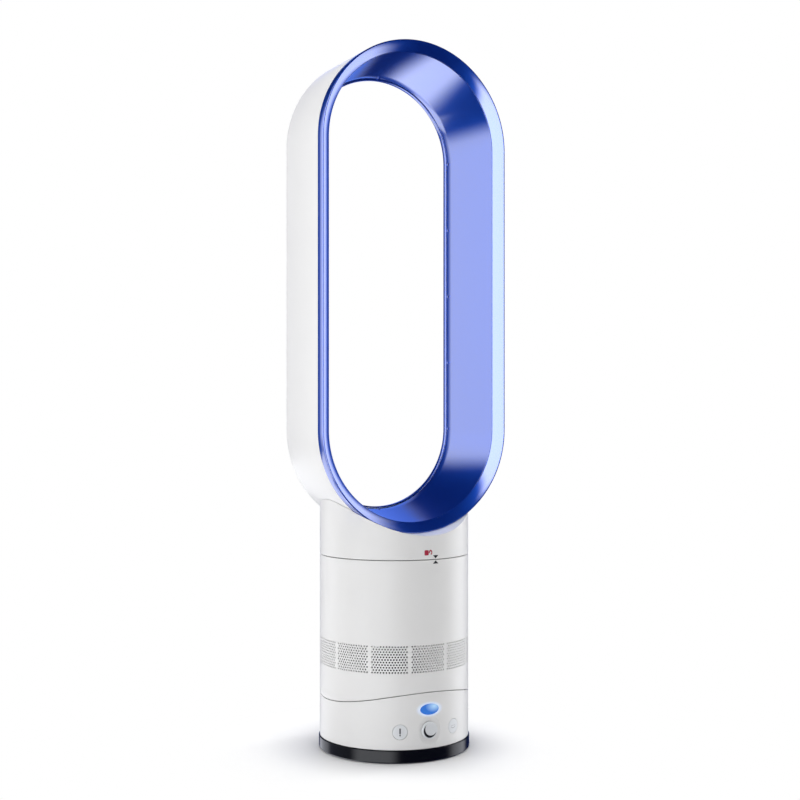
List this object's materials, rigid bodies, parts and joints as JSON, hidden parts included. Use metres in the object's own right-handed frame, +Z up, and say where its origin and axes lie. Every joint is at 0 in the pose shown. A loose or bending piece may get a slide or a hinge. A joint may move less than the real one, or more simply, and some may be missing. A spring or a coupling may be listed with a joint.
{
  "type": "bladeless fan",
  "caption": "Tower fan with an open loop nozzle on a round body, a perforated intake band, knob and buttons, a tilting and swinging body and a round foot.",
  "frame": {"origin": "centre of the circle that the fan stands on, at floor height, under the body's axis", "axes": "+Z up, -Y towards the front where the air comes out and the controls are, +X to the fan's right in the front view"},
  "size_m": [0.2, 0.15, 0.6925],
  "materials": {
    "body_white": "semi-gloss",
    "ring_blue": "metallic",
    "foot_black": "high gloss",
    "knob_white": "semi-gloss",
    "window_blue": "clear gloss",
    "mark_black": "matt",
    "inner_grey": "matt",
    "inner_pale": "matt",
    "rubber_black": "matt",
    "foam_dark": "open cell",
    "board_green": "matt",
    "steel": "satin",
    "motor_steel": "satin",
    "winding_copper": "enamelled",
    "magnet": "matt"
  },
  "bodies": {
    "foot": {"foot_base": "foot_black", "foot_pads": "rubber_black", "cord_bush": "rubber_black", "glide_ring": "inner_pale", "swing_gear": "inner_pale", "gear_screws": "steel", "pivot_clip": "steel"},
    "lower": {"turntable": "inner_grey", "turntable_screws": "steel", "lower_housing": "body_white", "tilt_cradle": "inner_grey", "cradle_screws": "steel", "swing_motor": "motor_steel", "swing_motor_screws": "steel", "supply_board": "board_green", "control_board": "board_green", "knob_encoder": "motor_steel", "display_lens": "window_blue", "button_boards": "board_green", "button_switches": "mark_black"},
    "pinion": {"swing_pinion": "inner_pale"},
    "knob": {"speed_knob": "knob_white", "knob_mark": "mark_black"},
    "power_key": {"power_button": "knob_white"},
    "swing_key": {"swing_button": "knob_white"},
    "main": {"tilt_shoe": "inner_grey", "shoe_screws": "steel", "main_housing": "body_white", "driver_board": "board_green", "sound_foam": "foam_dark", "duct_seal": "rubber_black", "air_duct": "inner_grey", "diffuser": "inner_grey", "motor_sleeve": "rubber_black", "motor_bucket": "inner_grey", "motor_cap": "inner_grey", "motor_bearings": "steel", "motor_stator": "motor_steel", "stator_coils": "winding_copper", "bayonet_ring": "inner_grey"},
    "rotor": {"impeller": "inner_pale", "rotor_shaft": "steel", "impeller_nut": "steel", "magnet_rotor": "magnet"},
    "nozzle": {"nozzle_collar": "body_white", "outer_shell": "body_white", "air_guide": "ring_blue", "front_ring": "ring_blue", "slot_spacers": "inner_grey", "nozzle_seal": "rubber_black"}
  },
  "joints": [
    {"name": "swing", "type": "hinge", "parent": "foot", "child": "lower", "pos_m": [0, 0, 0.0125], "axis": [0, 0, 1], "range_deg": [-45, 45]},
    {"name": "pinion_spin", "type": "hinge", "parent": "lower", "child": "pinion", "pos_m": [0, 0.033, 0.01], "axis": [0, 0, 1], "range_deg": [-121, 121]},
    {"name": "knob_turn", "type": "hinge", "parent": "lower", "child": "knob", "pos_m": [0, -0.073, 0.0298], "axis": [0, -1, 0], "range_deg": [-135, 135]},
    {"name": "power_press", "type": "slide", "parent": "lower", "child": "power_key", "axis": [0.3907, 0.9205, 0], "range_m": [0, 0.0008], "stiffness_N_per_m": 1500, "springref_m": -0.0005},
    {"name": "swing_press", "type": "slide", "parent": "lower", "child": "swing_key", "axis": [-0.3907, 0.9205, 0], "range_m": [0, 0.0008], "stiffness_N_per_m": 1500, "springref_m": -0.0005},
    {"name": "tilt", "type": "hinge", "parent": "lower", "child": "main", "pos_m": [0, 0, 0.27], "axis": [1, 0, 0], "range_deg": [-10, 10]},
    {"name": "rotor_spin", "type": "hinge", "parent": "main", "child": "rotor", "pos_m": [0, 0, 0.14], "axis": [0, 0, 1], "continuous": true},
    {"name": "nozzle_twist", "type": "hinge", "parent": "main", "child": "nozzle", "pos_m": [0, 0, 0.192], "axis": [0, 0, 1], "range_deg": [0, 12]}
  ],
  "couplings": [
    {"joint": "pinion_spin", "follows": "swing", "ratio": 2.6667}
  ]
}
